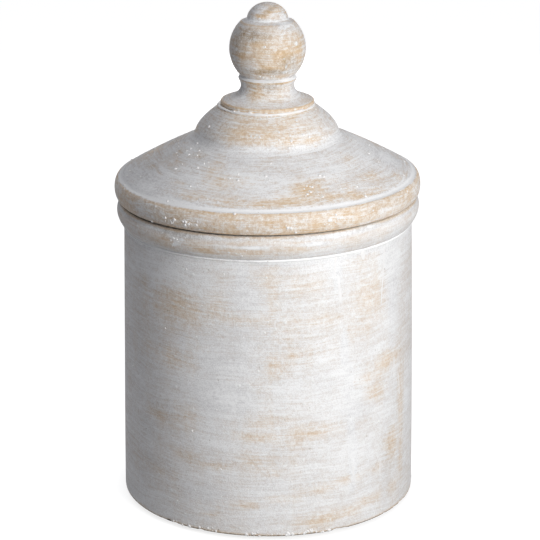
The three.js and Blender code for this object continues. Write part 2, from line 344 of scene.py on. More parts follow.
def finial_profile():
    vent_angle = math.acos(VENT_RADIUS / HOLLOW_RADIUS)
    seat_angle = math.asin((BALL_CENTRE - BALL_SEAT) / BALL_RADIUS)
    cap_angle = math.asin((CAP_FOOT - BALL_CENTRE) / BALL_RADIUS)
    centre = (0, BALL_CENTRE)
    hollow = (HOLLOW_RADIUS, HOLLOW_RADIUS)
    slope_foot = (WAIST_RADIUS + 6, FLANGE_SLOPE_TOP - 2.6)
    outline = Profile(0, BALL_CENTRE + HOLLOW_RADIUS, inside=1)
    outline.round(centre, hollow, math.pi / 2, -vent_angle, step=2.5, inside=1)
    outline.to((VENT_RADIUS, TENON_BOTTOM), step=4, inside=1)
    outline.to((TENON_RADIUS, TENON_BOTTOM), step=2.5, bare=2)
    outline.to((TENON_RADIUS, FLANGE_BOTTOM), step=3, bare=2)
    outline.to((FLANGE_RADIUS - 0.6, FLANGE_BOTTOM), step=3, bare=0.5)
    outline.to((FLANGE_RADIUS, FLANGE_BOTTOM), (FLANGE_RADIUS, FLANGE_BOTTOM + 0.6), step=0.25)
    outline.to((FLANGE_RADIUS, FLANGE_TOP - 0.6), step=0.4)
    outline.to((FLANGE_RADIUS, FLANGE_TOP), (FLANGE_RADIUS - 0.9, FLANGE_TOP + 0.2), step=0.25)
    outline.to(slope_foot, step=0.6)
    outline.to((WAIST_RADIUS, FLANGE_SLOPE_TOP), (WAIST_RADIUS, FLANGE_SLOPE_TOP + 4.1), step=0.6)
    outline.to((WAIST_RADIUS + 0.1, LIP_BOTTOM - 1.2), (LIP_RADIUS, LIP_BOTTOM), step=0.4)
    outline.to((LIP_RADIUS + 0.3, LIP_BOTTOM + 0.9), step=0.3)
    outline.to((LIP_RADIUS + 0.1, BALL_SEAT - 0.4), (LIP_RADIUS - 0.7, BALL_SEAT - 0.1), step=0.3, pool=1.4)
    outline.to((WAIST_RADIUS - 0.2, BALL_SEAT - 0.2), step=0.3, pool=1)
    ball = (BALL_RADIUS, BALL_RADIUS)
    outline.round(centre, ball, -seat_angle, cap_angle - 0.05, step=0.65)
    outline.to((CAP_RADIUS + 0.6, CAP_FOOT + 0.1), (CAP_RADIUS - 0.1, CAP_FOOT + 1.2), step=0.3)
    cap = (CAP_RADIUS, FINIAL_TOP - CAP_FOOT)
    return outline.round((0, CAP_FOOT), cap, math.asin(1.2 / cap[1]), math.pi / 2, step=0.6)


def bead_profile():
    half = (BEAD_HALF_WIDTH, BEAD_HALF_HEIGHT)
    outline = Profile(BEAD_RADIUS + BEAD_HALF_WIDTH, BEAD_HEIGHT)
    return outline.round((BEAD_RADIUS, BEAD_HEIGHT), half, 0, 2 * math.pi, step=0.35)


def pad_profile():
    outline = Profile(0, PAD_LIFT)
    outline.to((PAD_RADIUS - PAD_EASE, PAD_LIFT), step=1)
    outline.to((PAD_RADIUS, PAD_LIFT), (PAD_RADIUS, PAD_EASE), step=0.2)
    outline.to((PAD_RADIUS - 0.15, PAD_THICKNESS / 2), (PAD_RADIUS, PAD_THICKNESS - PAD_EASE), step=0.3)
    outline.to((PAD_RADIUS, PAD_THICKNESS), (PAD_RADIUS - PAD_EASE, PAD_THICKNESS), step=0.2)
    return outline.to((0, PAD_THICKNESS), step=1)


def run_along(points):
    """How far each point lies along its profile."""
    steps = np.hypot(*np.diff(np.array(points), axis=0).T)
    return np.concatenate([[0], np.cumsum(steps)])


def bending(points, run, reach):
    """How sharply the profile turns about each point, over a reach each way. Hollows are below nought."""
    radii, heights = np.array(points).T
    before = np.stack([np.interp(run - reach, run, radii), np.interp(run - reach, run, heights)])
    after = np.stack([np.interp(run + reach, run, radii), np.interp(run + reach, run, heights)])
    here = np.stack([radii, heights])
    back, ahead = here - before, after - here
    return np.arctan2(back[0] * ahead[1] - back[1] * ahead[0], (back * ahead).sum(axis=0))


def profile_object(name, profile, reach):
    """The profile as a line of points, with what the finish needs to know stored on them."""
    points = profile.points
    run = run_along(points)
    turn = bending(points, run, reach)
    mesh = bpy.data.meshes.new(name)
    edges = [(i, i + 1) for i in range(len(points) - 1)]
    mesh.from_pydata([(r * MM, 0, z * MM) for r, z in points], edges, [])
    marks = np.array(profile.marks)
    marks[:, 0] = np.maximum(marks[:, 0], np.clip(-turn / SHARP_TURN, 0, 1))
    marks[:, 1] = np.maximum(marks[:, 1], np.clip(turn / SHARP_TURN, 0, 1))
    mesh.attributes.new("form", "FLOAT_VECTOR", "POINT").data.foreach_set("vector", marks.ravel())
    mesh.attributes.new("run", "FLOAT", "POINT").data.foreach_set("value", run * MM)
    return new_piece(name, mesh)


# Geometry Nodes


def new_tree(name, inputs):
    """An empty Geometry Nodes tree with named inputs, and the sockets that they come from."""
    tree = bpy.data.node_groups.new(name, "GeometryNodeTree")
    for label, kind in inputs.items():
        tree.interface.new_socket(name=label, in_out="INPUT", socket_type="NodeSocket" + kind)
    tree.interface.new_socket(name="Result", in_out="OUTPUT", socket_type="NodeSocketGeometry")
    return tree, add(tree, "NodeGroupInput").outputs


def end_tree(tree, shape, finish):
    """Makes a tree's shape plain, smooth and of its material, and gives it as the result."""
    real = add(tree, "GeometryNodeRealizeInstances", {"Geometry": shape})
    smooth = add(tree, "GeometryNodeSetShadeSmooth", {"Geometry": real})
    finished = add(tree, "GeometryNodeSetMaterial", {"Geometry": smooth, "Material": finish})
    add(tree, "NodeGroupOutput", {0: finished})
    return tree


def turning_tree():
    """Turns a profile about the Z axis, a little unevenly, and carries its marks to the surface."""
    lengths = dict.fromkeys(("Unevenness", "Unevenness scale", "Lumps", "Lump scale"), "Float")
    inputs = {"Profile": "Geometry", "Steps around": "Int", **lengths, "Finish": "Material"}
    tree, given = new_tree("turned on the wheel", inputs)
    profile = given["Profile"]
    count = add(tree, "GeometryNodeAttributeDomainSize", {0: profile}).outputs["Point Count"]
    around = add(tree, "FunctionNodeIntegerMath", {0: given["Steps around"], 1: 1}, operation="ADD")
    grid = add(tree, "GeometryNodeMeshGrid", {"Vertices X": around, "Vertices Y": count})
    index = add(tree, "GeometryNodeInputIndex")
    place = add(tree, "FunctionNodeIntegerMath", {0: index, 1: count}, operation="MODULO")
    step = add(tree, "FunctionNodeIntegerMath", {0: index, 1: count}, operation="DIVIDE_FLOOR")
    turn = add(tree, "ShaderNodeMath", {0: step, 1: given["Steps around"]}, operation="DIVIDE")
    angle = add(tree, "ShaderNodeMath", {0: turn, 1: 2 * math.pi}, operation="MULTIPLY")
    point, marks, run = (
        add(
            tree,
            "GeometryNodeSampleIndex",
            {
                "Geometry": profile,
                "Value": add(tree, "GeometryNodeInputNamedAttribute", {0: name}, data_type=kind),
                "Index": place,
            },
            data_type=kind,
        )
        for name, kind in (("position", "FLOAT_VECTOR"), ("form", "FLOAT_VECTOR"), ("run", "FLOAT"))
    )
    flat = add(tree, "ShaderNodeSeparateXYZ", {0: point}).outputs
    x, y = (
        add(
            tree,
            "ShaderNodeMath",
            {0: flat["X"], 1: add(tree, "ShaderNodeMath", {0: angle}, operation=function)},
            operation="MULTIPLY",
        )
        for function in ("COSINE", "SINE")
    )
    true_place = add(tree, "ShaderNodeCombineXYZ", {0: x, 1: y, 2: flat["Z"]})
    swell = {"Vector": true_place, "Scale": given["Unevenness scale"], "Detail": 2.0}
    wobble = add(tree, "ShaderNodeTexNoise", swell)
    shrink = add(tree, "ShaderNodeMath", {0: wobble, 1: given["Unevenness"]}, operation="MULTIPLY")
    share = add(tree, "ShaderNodeMath", {0: 1.0, 1: shrink}, operation="SUBTRACT")
    scale = add(tree, "ShaderNodeCombineXYZ", {0: share, 1: share, 2: 1.0})
    thrown = add(tree, "ShaderNodeVectorMath", {0: true_place, 1: scale}, operation="MULTIPLY")
    shape = add(tree, "GeometryNodeSetPosition", {"Geometry": grid, "Position": thrown})
    stroke = add(tree, "ShaderNodeCombineXYZ", {0: x, 1: y, 2: run})
    for name, value in (("brush", stroke), ("form", marks)):
        stored = {"Geometry": shape, "Name": name, "Value": value}
        shape = add(tree, "GeometryNodeStoreNamedAttribute", stored, data_type="FLOAT_VECTOR")
    closed = add(tree, "GeometryNodeMergeByDistance", {"Geometry": shape, "Distance": 0.00001})
    lumpy = {"Vector": true_place, "Scale": given["Lump scale"], "Detail": 1.5}
    lump = add(tree, "ShaderNodeTexNoise", lumpy)
    centred = add(tree, "ShaderNodeMath", {0: lump, 1: 0.5}, operation="SUBTRACT")
    height = add(tree, "ShaderNodeMath", {0: centred, 1: given["Lumps"]}, operation="MULTIPLY")
    outward = {0: add(tree, "GeometryNodeInputNormal"), "Scale": height}
    push = add(tree, "ShaderNodeVectorMath", outward, operation="SCALE")
    pushed = add(tree, "GeometryNodeSetPosition", {"Geometry": closed, "Offset": push})
    return end_tree(tree, pushed, given["Finish"])


def made_by(tree, source, name, inputs):
    """A plain mesh piece from what a tree makes of the source object."""
    modifier = source.modifiers.new(tree.name, "NODES")
    modifier.node_group = tree
    for item in tree.interface.items_tree:
        if item.name in inputs:
            modifier[item.identifier] = inputs[item.name]
    evaluated = source.evaluated_get(bpy.context.evaluated_depsgraph_get())
    mesh = bpy.data.meshes.new_from_object(evaluated)
    mesh.name = name
    source.modifiers.remove(modifier)
    return new_piece(name, mesh)


def turned_piece(
    name, profile, finish, *, steps, reach, lumps=0.0, lump_scale=250.0, unevenness=UNEVENNESS
):
    """A piece turned on the wheel. Its edges and hollows are judged over a reach each way."""
    source = profile_object(name + "_profile", profile, reach)
    inputs = {
        "Steps around": steps,
        "Unevenness": unevenness,
        "Unevenness scale": UNEVENNESS_SCALE,
        "Lumps": lumps,
        "Lump scale": lump_scale,
        "Finish": finish,
    }
    piece = made_by(wheel, source, name, inputs)
    bpy.data.objects.remove(source)
    return piece


# Points of a mesh


def read(mesh, name):
    """A vector for each point of a mesh: its position, or what is stored under another name."""
    values = np.zeros(len(mesh.vertices) * 3, np.float32)
    mesh.attributes[name].data.foreach_get("vector", values)
    return values.reshape(-1, 3)


def move(mesh, points):
    mesh.vertices.foreach_set("co", points.astype(np.float32).ravel())
    mesh.update()


def within(values, low=-math.inf, high=math.inf):
    return ((values > low) & (values < high)).astype(float)


def rightness(points):
    """The cosine of each point's angle: one at the right of the form, and minus one at the left."""
    return np.cos(np.arctan2(points[:, 1], points[:, 0]))


def leaned(points, angle):
    """Points turned about the middle of the rim, so that the left side drops."""
    turned = points.copy()
    height = points[:, 2] - RIM_TOP * MM
    turned[:, 0] = points[:, 0] * math.cos(angle) - height * math.sin(angle)
    turned[:, 2] = RIM_TOP * MM + points[:, 0] * math.sin(angle) + height * math.cos(angle)
    return turned


def untrue(mesh):
    """Drops the left side of the rim, fading out down the wall, and shifts the foot to the right."""
    points = read(mesh, "position")
    share = np.clip((points[:, 2] / MM - LEAN_FOOT) / (CREASE - LEAN_FOOT), 0, 1)
    points[:, 2] += points[:, 0] * math.tan(RIM_LEAN) * share * share * (3 - 2 * share)
    points[:, 0] += (FOOT_DRIFT + (RIM_DRIFT - FOOT_DRIFT) * share) * MM
    move(mesh, points)


def chip_foot(mesh):
    """Breaks small flakes off the edge of the foot."""
    points = read(mesh, "position")
    low_down = points[:, 2] < (UNDERSIDE + 3) * MM
    far_out = np.hypot(points[:, 0], points[:, 1]) > (FOOT_RADIUS - 3) * MM
    for i in np.nonzero(low_down & far_out)[0]:
        angle = math.atan2(points[i, 1], points[i, 0])
        around = Vector((math.cos(angle), math.sin(angle), 0.3))
        flake = max(0.0, noise.noise(around * 9) + 0.6 * noise.noise(around * 31) - 0.15)
        low = max(0.0, 1 - (points[i, 2] / MM - UNDERSIDE) / 2)
        loss = min(1.0, flake * 2) * low * CHIP_DEPTH
        points[i, :2] *= 1 - 0.6 * loss / FOOT_RADIUS
        points[i, 2] += loss * MM * 0.8
    move(mesh, points)


# Materials


def new_material(name):
    material = bpy.data.materials.new(name)
    material.use_nodes = True
    return material, material.node_tree


def weighed(tree, start, *signals):
    """A start plus each signal's difference from its middle, times its weight."""
    total = start - sum(weight * middle for _, weight, middle in signals)
    for signal, weight, _ in signals:
        total = add(tree, "ShaderNodeMath", {0: signal, 1: weight, 2: total}, operation="MULTIPLY_ADD")
    return total


def brushed_patterns(tree, brush, sway):
    """What breaks the wash up, by name. The hand wanders by sway, 50 mm from one turn to the next."""
    waver = add(tree, "ShaderNodeTexNoise", {"Vector": brush, "Scale": 20.0, "Detail": 1.0})
    wander = {0: waver.outputs["Color"], 1: (0.0, 0.0, sway), 2: brush}
    hand = add(tree, "ShaderNodeVectorMath", wander, operation="MULTIPLY_ADD")
    patterns = {}
    for name, path, scale, detail, roughness in (
        # Clouds 50 mm wide and 25 mm high
        ("cloud", brush, (20.0, 20.0, 40.0), 6.0, 0.62),
        # Brush strokes 1.6 mm high and 24 mm long, and bristle lines half as high, drawn that coarse to show
        ("stroke", hand, (42.0, 42.0, 620.0), 4.0, 0.68),
        ("bristle", hand, (80.0, 80.0, 1500.0), 2.0, 0.5),
        # Weaker strokes up and down, 9 mm wide
        ("upright", brush, (110.0, 110.0, 16.0), 3.0, 0.5),
        # Mottling of 2 mm where the wash sank in, and the grit of the clay, 0.6 mm
        ("mottle", brush, (430.0, 430.0, 430.0), 4.0, 0.7),
        ("grit", brush, (1500.0, 1500.0, 1500.0), 2.0, 0.5),
    ):
        scaled = add(tree, "ShaderNodeMapping", {"Vector": path, "Scale": scale})
        pattern = {"Vector": scaled, "Scale": 1.0, "Detail": detail, "Roughness": roughness}
        patterns[name] = add(tree, "ShaderNodeTexNoise", pattern)
    return patterns


def specks(tree, brush, scale, rarity, sizes, depth):
    """Round specks, each in some of the cells of a loose net: how much of one lies on each point."""
    net = add(tree, "ShaderNodeTexVoronoi", {"Vector": brush, "Scale": scale})
    cell = add(tree, "ShaderNodeSeparateXYZ", {0: net.outputs["Color"]}).outputs
    chosen = add(tree, "ShaderNodeMath", {0: cell["X"], 1: rarity}, operation="GREATER_THAN")
    edge = add(tree, "ShaderNodeMapRange", {"Value": cell["Y"], "To Min": sizes[0], "To Max": sizes[1]})
    fading = {"Value": net, "From Min": edge, "From Max": 0.05, "To Max": depth}
    near = add(tree, "ShaderNodeMapRange", fading)
    return add(tree, "ShaderNodeMath", {0: near, 1: chosen}, operation="MULTIPLY")


def wash_left(tree, on, marks, hold, uneven):
    """How much of the wash covers the clay."""
    pool, bare, inside, wear = marks
    patches = {"Value": on["cloud"], "From Min": 0.38, "From Max": 0.6, "To Min": 0.5, "To Max": 1.25}
    patchy = add(tree, "ShaderNodeMapRange", patches)
    worn = add(tree, "ShaderNodeMath", {0: wear, 1: patchy}, operation="MULTIPLY")
    # Where it was rubbed most, the wash stays only in the pores and brush marks
    breaks = {"stroke": 0.85, "bristle": 0.6, "upright": 0.5, "mottle": 0.9, "grit": 0.35}
    broken = weighed(tree, 0.0, *((on[name], weight, 0.5) for name, weight in breaks.items()))
    rough = add(tree, "ShaderNodeMath", {0: wear, 1: 1.2, 2: uneven}, operation="MULTIPLY_ADD")
    clouded = (on["cloud"], 1.1 * uneven, 0.5)
    left = weighed(
        tree, hold, (worn, -0.95, 0.0), (bare, -0.7, 0.0), (pool, 0.9, 0.0), (inside, 0.2, 0.0), clouded
    )
    total = add(tree, "ShaderNodeMath", {0: broken, 1: rough, 2: left}, operation="MULTIPLY_ADD")
    covered = {"Value": total, "From Min": -0.1, "From Max": 1.1, "To Min": 0.05, "To Max": 0.99}
    return add(tree, "ShaderNodeMapRange", covered, interpolation_type="SMOOTHSTEP")


def limewashed_stoneware(name, hold, sway, uneven):
    """Matt tan bisque under a brushed lime wash. The brush went round, so its marks run level.
    hold is how much of the wash is left, sway how far the strokes wander, in metres, and uneven
    how much the strokes and the clay break the wash up."""
    material, tree = new_material(name)
    brush, form, wear, dust_and_shade = (
        add(tree, "ShaderNodeAttribute", attribute_name=stored).outputs[kind]
        for stored, kind in (("brush", "Vector"), ("form", "Vector"), ("wear", "Fac"), ("dust_and_shade", "Fac"))
    )
    pool, bare, inside = add(tree, "ShaderNodeSeparateXYZ", {0: form}).outputs
    on = brushed_patterns(tree, brush, sway)
    cover = wash_left(tree, on, (pool, bare, inside, wear), hold, uneven)

    clay = {0: on["mottle"], 6: linear("#bc9466"), 7: linear("#f8e3c2")}
    clay = add(tree, "ShaderNodeMix", clay, data_type="RGBA")
    thins = {"stroke": 1.9, "bristle": 0.9, "mottle": 1.4, "cloud": 2.4, "grit": 2.8}
    thin = weighed(tree, 0.55, *((on[name], weight * uneven, 0.5) for name, weight in thins.items()))
    wash = {0: add(tree, "ShaderNodeClamp", {0: thin}), 6: linear("#d9d8d8"), 7: linear("#f7f7f6")}
    wash = add(tree, "ShaderNodeMix", wash, data_type="RGBA")
    skin = add(tree, "ShaderNodeMix", {0: cover, 6: clay, 7: wash}, data_type="RGBA")

    gathered = add(tree, "ShaderNodeMath", {0: on["mottle"], 1: 1.0, 2: pool}, operation="MULTIPLY_ADD")
    thick = add(tree, "ShaderNodeMapRange", {"Value": gathered, "From Min": 0.8, "From Max": 1.15})
    fleck = specks(tree, brush, 190.0, 0.8, (0.08, 0.22), 1.0)
    pit = specks(tree, brush, 210.0, 0.9, (0.13, 0.13), 0.4)
    pores = weighed(tree, 1.0, (on["mottle"], -1.8, 0.5), (on["grit"], -1.8, 0.5))
    # the stored mask holds dirt and painted shade alike
    grime_and_shade = add(tree, "ShaderNodeMath", {0: dust_and_shade, 1: pores}, operation="MULTIPLY")
    # Gathered slip, white flecks, pinholes, and a dark brown for dirt and painted shade, thicker in the pores
    for share, colour in ((thick, "#f8f8f7"), (fleck, "#f6f6f4"), (pit, "#8c7a64"), (grime_and_shade, "#40352b")):
        skin = add(tree, "ShaderNodeMix", {0: share, 6: skin, 7: linear(colour)}, data_type="RGBA")

    brushed = ((on["stroke"], 0.6), (on["mottle"], 0.7), (on["grit"], 0.7))
    heights = ((fleck, 1.0), (cover, 0.6), *brushed, (pit, -1.5))
    relief = weighed(tree, 0.0, *((signal, weight, 0.0) for signal, weight in heights))
    bump = add(tree, "ShaderNodeBump", {"Strength": 0.6, "Distance": 0.0003, "Height": relief})
    sealed = add(tree, "ShaderNodeMath", {0: inside, 1: -0.35, 2: cover}, operation="MULTIPLY_ADD")
    gloss = add(tree, "ShaderNodeMapRange", {"Value": sealed, "To Min": 0.6, "To Max": 0.78})
    finish = {"Base Color": skin, "Roughness": gloss, "Normal": bump, "Specular IOR Level": 0.15}
    wire(tree, tree.nodes["Principled BSDF"], finish)
    return material


def grained(name, grain, colours, strength, depth, finish):
    """A finish of one grain, which tints it and stands up from it."""
    material, tree = new_material(name)
    place = add(tree, "ShaderNodeTexCoord").outputs["Object"]
    pattern = add(tree, "ShaderNodeTexNoise", {"Vector": place, **grain})
    dark, pale = colours
    tint = add(tree, "ShaderNodeMix", {0: pattern, 6: linear(dark), 7: linear(pale)}, data_type="RGBA")
    bump = add(tree, "ShaderNodeBump", {"Strength": strength, "Distance": depth, "Height": pattern})
    wire(tree, tree.nodes["Principled BSDF"], {"Base Color": tint, "Normal": bump, **finish})
    return material


def white_slip():
    """Thick lime slip, as it dries in a crease: a smooth white with a faint sheen, mottled over 3 mm."""
    mottling = {"Scale": 300.0, "Detail": 3.0}
    return grained("thick_lime_slip", mottling, ("#e6e4e1", "#fbfaf9"), 0.4, 0.0002, {"Roughness": 0.5})


def pressed_felt():
    """Pressed wool felt: a matt, dark cloth of matted fibres, in tufts of 1 mm, drawn that coarse to show."""
    tufts = {"Scale": 900.0, "Detail": 4.0, "Distortion": 1.5}
    matt = {"Roughness": 0.95, "Sheen Weight": 0.3}
    return grained("pressed_wool_felt", tufts, ("#35312d", "#6a635b"), 0.8, 0.0004, matt)


# Wear. A patch is given by the pixel of the photograph over its middle, its half width round the form
# and half height up it in millimetres, and how far it was rubbed.

JAR_WEAR = [
    (182, 306, 28, 13, 0.42),
    (212, 309, 12, 10, 0.35),
    (145, 280, 9, 6, 0.2),
    (255, 318, 44, 5, 0.32),
    (318, 321, 20, 4, 0.28),
    (276, 296, 5, 24, 0.3),
    (276, 338, 5, 16, 0.25),
    (277, 364, 8, 10, 0.55),
    (272, 282, 24, 9, 0.24),
    (272, 421, 14, 7, 0.32),
    (268, 392, 14, 30, 0.14),
    (272, 472, 12, 4, 0.3),
    (294, 354, 8, 5, 0.35),
    (288, 350, 24, 32, 0.2),
    (298, 283, 17, 8, 0.25),
    (371, 296, 15, 16, 0.36),
    (363, 325, 12, 7, 0.26),
    (365, 262, 10, 8, 0.22),
    (388, 360, 15, 6, 0.48),
    (374, 374, 14, 4, 0.36),
    (377, 390, 8, 6, 0.46),
    (401, 390, 5, 28, 0.34),
    (401, 450, 5, 28, 0.34),
    (175, 357, 22, 8, 0.34),
    (205, 349, 12, 4, 0.22),
    (160, 412, 14, 6, 0.28),
    (187, 415, 10, 8, 0.24),
    (192, 456, 11, 4, 0.36),
    (216, 465, 13, 3, 0.42),
    (158, 468, 15, 4, 0.2),
    (262, 436, 14, 4, 0.45),
    (312, 431, 17, 5, 0.44),
    (290, 441, 14, 5, 0.24),
    (266, 461, 16, 7, 0.34),
    (393, 441, 9, 10, 0.52),
    (250, 503, 10, 3, 0.34),
    (285, 497, 13, 3, 0.28),
    (320, 489, 13, 3, 0.3),
    (350, 479, 12, 3, 0.3),
    (380, 466, 12, 3, 0.3),
    (318, 520, 15, 5, 0.46),
    (345, 511, 14, 4, 0.38),
    (371, 498, 10, 4, 0.4),
    (393, 485, 8, 4, 0.32),
    (211, 513, 6, 1, 0.4),
    (175, 243, 24, 5, 0.42),
    (228, 252, 38, 2.5, 0.5),
    (290, 250, 20, 2.5, 0.42),
    (215, 237, 30, 2, 0.3),
    (275, 240, 28, 2.5, 0.42),
    (335, 236, 30, 6, 0.14),
]
LID_WEAR = [
    (190, 219, 32, 9, 0.42),
    (245, 228, 40, 9, 0.56),
    (310, 226, 40, 9, 0.56),
    (348, 217, 16, 9, 0.58),
    (370, 212, 34, 9, 0.42),
    (408, 192, 30, 9, 0.34),
    (215, 170, 6, 12, 0.34),
    (222, 182, 7, 8, 0.42),
    (240, 182, 12, 5, 0.34),
    (318, 181, 14, 5, 0.38),
    (190, 196, 16, 5, 0.36),
    (226, 201, 24, 5, 0.4),
    (266, 204, 20, 4, 0.5),
    (287, 203, 14, 4, 0.6),
    (297, 198, 12, 5, 0.64),
    (309, 191, 12, 7, 0.8),
    (311, 189, 5, 3, 0.95),
    (332, 197, 9, 5, 0.65),
    (362, 194, 20, 4, 0.62),
    (350, 188, 6, 5, 0.5),
    (371, 176, 10, 4, 0.48),
    (317, 200, 10, 6, 0.5),
    (334, 214, 16, 2, 0.4),
    (346, 160, 9, 8, 0.24),
    (398, 177, 6, 4, 0.34),
    (199, 155, 8, 3.5, 0.26),
    (151, 167, 6, 4, 0.26),
    (141, 178, 6, 4, 0.22),
    (180, 152, 5, 6, 0.22),
    (160, 174, 5, 3, 0.16),
    (177, 183, 8, 2.5, 0.3),
    (262, 128, 40, 13, 0.42),
    (254, 134, 16, 7, 0.66),
    (230, 130, 12, 8, 0.5),
    (292, 137, 8, 6, 0.5),
    (312, 141, 10, 5, 0.4),
    (282, 120, 16, 5, 0.44),
]
LID_DAUBS = [
    (150, 182, 24, 9, 0.4),
    (148, 187, 16, 6, 0.55),
    (235, 160, 14, 5, 0.2),
    (330, 172, 12, 5, 0.2),
    (124, 180, 12, 3.5, 0.6),
    (134, 189, 14, 3.5, 0.6),
    (150, 196, 14, 3.5, 0.6),
    (168, 200, 14, 3.5, 0.6),
    (186, 204, 14, 3, 0.5),
    (386, 156, 12, 9, 0.55),
]
FINIAL_WEAR = [
    (268, 50, 42, 24, 0.4),
    (256, 48, 14, 12, 0.5),
    (285, 58, 10, 8, 1.0),
    (277, 66, 13, 5, 0.85),
    (298, 48, 6, 12, 0.75),
    (262, 72, 13, 3, 0.6),
    (247, 36, 7, 5, 0.7),
    (243, 52, 8, 14, 0.62),
    (291, 50, 6, 14, 0.7),
    (279, 11, 4, 5, 0.65),
    (272, 8, 2.5, 2, 0.8),
    (267, 12.5, 3.5, 2, 1.0),
    (261, 16, 4, 1.4, 0.9),
    (280, 82, 12, 2, 0.7),
    (288, 63, 6, 5, 0.8),
    (236, 42, 7, 9, 0.5),
    (256, 90, 7, 9, 0.8),
    (270, 92, 16, 9, 0.5),
    (284, 104, 14, 4, 0.3),
    (262, 107, 18, 4, 0.26),
]

# Grime in the pores, and painted shade, given in the same way. The painted shade lies down the jar's
# right edge, on its shoulder just under the lid at the left, along the lid's band at the left, and on
# the ball's left side and under it, above the lip
LID_GRIME_AND_SHADE = [
    # painted shade along the lid's band at the left
    (160, 212, 26, 9, 0.12),
    (180, 151, 6, 6, 0.09),
    (151, 167, 7, 4, 0.07),
    (141, 177, 6, 5, 0.05),
    (124, 200, 8, 8, 0.06),
    (199, 156, 8, 5, 0.1),
    (212, 132, 14, 14, 0.14),
    (384, 200, 22, 6, 0.12),
    (336, 207, 30, 5, 0.04),
]
FINIAL_GRIME_AND_SHADE = [
    (274, 6, 1.6, 1.6, 0.22),
    (271, 9, 1.8, 1.5, 0.3),
    (267, 12, 2.2, 1.3, 0.22),
    (262, 15, 3, 1, 0.2),
    (268, 50, 46, 24, 0.055),
    # painted shade on the ball's left side
    (232, 50, 9, 18, 0.2),
    (289, 62, 7, 6, 0.26),
    (255, 90, 5, 8, 0.08),
    (248, 34, 15, 4.5, 0.34),
    (238, 43, 8, 8, 0.28),
    # painted shade under the ball, above the lip
    (270, 72, 16, 2.5, 0.34),
    (273, 86, 7, 5, 0.26),
    (241, 90, 4, 5, 0.26),
]
JAR_GRIME_AND_SHADE = [
    # painted shade down the jar's right edge
    (402, 400, 7, 90, 0.03),
    (182, 306, 28, 13, 0.04),
    (388, 460, 9, 26, 0.06),
    (386, 256, 8, 8, 0.05),
    (172, 262, 14, 7, 0.05),
    (145, 280, 8, 5, 0.05),
    (165, 410, 14, 7, 0.07),
    (150, 425, 12, 8, 0.05),
    (184, 440, 10, 6, 0.05),
    (190, 456, 11, 4, 0.05),
    (160, 464, 14, 5, 0.06),
    # painted shade on the shoulder just under the lid, at the left
    (178, 233, 20, 3.5, 0.32),
]

# Slip that gathered in thick daubs, given in the same way
FINIAL_DAUBS = [
    (259, 9, 6, 3.5, 0.35),
    (268, 21, 14, 1.2, 0.3),
    (286, 24, 8, 4, 0.6),
    (283, 16, 4, 3, 0.5),
    (296.5, 43, 0.9, 0.9, 1.5),
    (286.5, 66, 0.8, 1.4, 1.2),
    (285, 72, 1.2, 0.8, 1.2),
    (244, 97, 2, 1.5, 1.1),
]
JAR_DAUBS = [
    (178, 242, 6, 4, 0.5),
    (176, 244, 2, 1.2, 0.9),
    (181, 239, 2, 1, 0.8),
    (254, 248, 7, 0.8, 0.9),
    (319, 243, 8, 1.2, 0.6),
    (244, 277, 4, 12, 0.4),
    (248, 292, 8, 12, 0.35),
    (238, 330, 14, 6, 0.25),
    (228, 398, 18, 9, 0.55),
    (362, 408, 10, 6, 0.2),
    (206, 490, 14, 6, 0.25),
    (341, 234, 22, 2, 0.5),
    (370, 226, 12, 2, 0.5),
    (304, 237, 18, 2, 0.35),
    (255, 238, 20, 2, 0.3),
    (236, 233, 14, 2, 0.3),
    (240, 342, 16, 8, 0.25),
    (207, 236, 10, 2, 0.4),
    (310, 380, 22, 10, 0.2),
    (230, 362, 24, 9, 0.32),
    (395, 280, 6, 30, 0.3),
    (338, 262, 2.5, 12, 0.45),
    (346, 350, 2.5, 14, 0.35),
    (349, 385, 2.5, 14, 0.4),
    (352, 420, 2.5, 16, 0.45),
    (355, 460, 2.5, 16, 0.5),
]

# Where the slip in the crease was wiped thin, given in the same way
JAR_WIPED = [
    (185, 255, 16, 4, 0.75),
    (218, 259, 18, 4, 0.9),
    (245, 260, 10, 4, 0.6),
]

# Nibs of slip along the foot, given in the same way
FOOT_NIBS = [
    (180, 522.5, 6, 1, 0.7),
    (196, 526.5, 8, 1.2, 1.0),
    (209, 529.5, 5, 1.2, 0.8),
    (254, 533.5, 7, 1.2, 1.0),
    (285, 533.5, 16, 1.2, 1.0),
    (316, 530.5, 14, 1.2, 1.0),
    (336, 527.5, 8, 1, 0.6),
]

# Where slip was flicked on as spatter, given in the same way
JAR_SPATTER = [
    (178, 241, 5, 4, 0.9),
    (243, 253, 4, 2, 0.5),
    (190, 430, 4, 3, 0.2),
    (208, 435, 3, 2, 0.2),
    (178, 317, 14, 6, 0.08),
]
LID_SPATTER = [
    (167, 219, 4, 1.2, 1.0),
    (174, 221, 5, 1.2, 1.0),
    (187, 223, 7, 1.5, 1.0),
    (203, 224, 4, 2, 0.6),
    (334, 220, 5, 3, 1.0),
    (289, 227, 3, 1.5, 0.8),
    (312, 193, 6, 5, 0.7),
    (238, 179, 5, 3, 0.4),
    (262, 161, 9, 6, 0.2),
    (187, 160, 16, 10, 0.2),
    (285, 133, 24, 9, 0.12),
    (250, 144, 2, 2, 0.8),
    (259, 117, 8, 1.2, 0.9),
]
FINIAL_SPATTER = [
    (297, 43, 1.2, 1.2, 1.0),
    (286, 69, 3, 3, 0.8),
    (268, 77, 18, 1.5, 0.4),
    (262, 50, 14, 12, 0.08),
]

# Nibs on the bead of slip under the finial, given in the same way
BEAD_NIBS = [
    (259, 116, 5, 2, 1.0),
    (251, 115, 3, 2, 0.5),
    (285, 115, 6, 2, 0.3),
]

BEHIND = (0.1, math.pi - 0.1)  # the angles round the back, which the photograph doesn't show

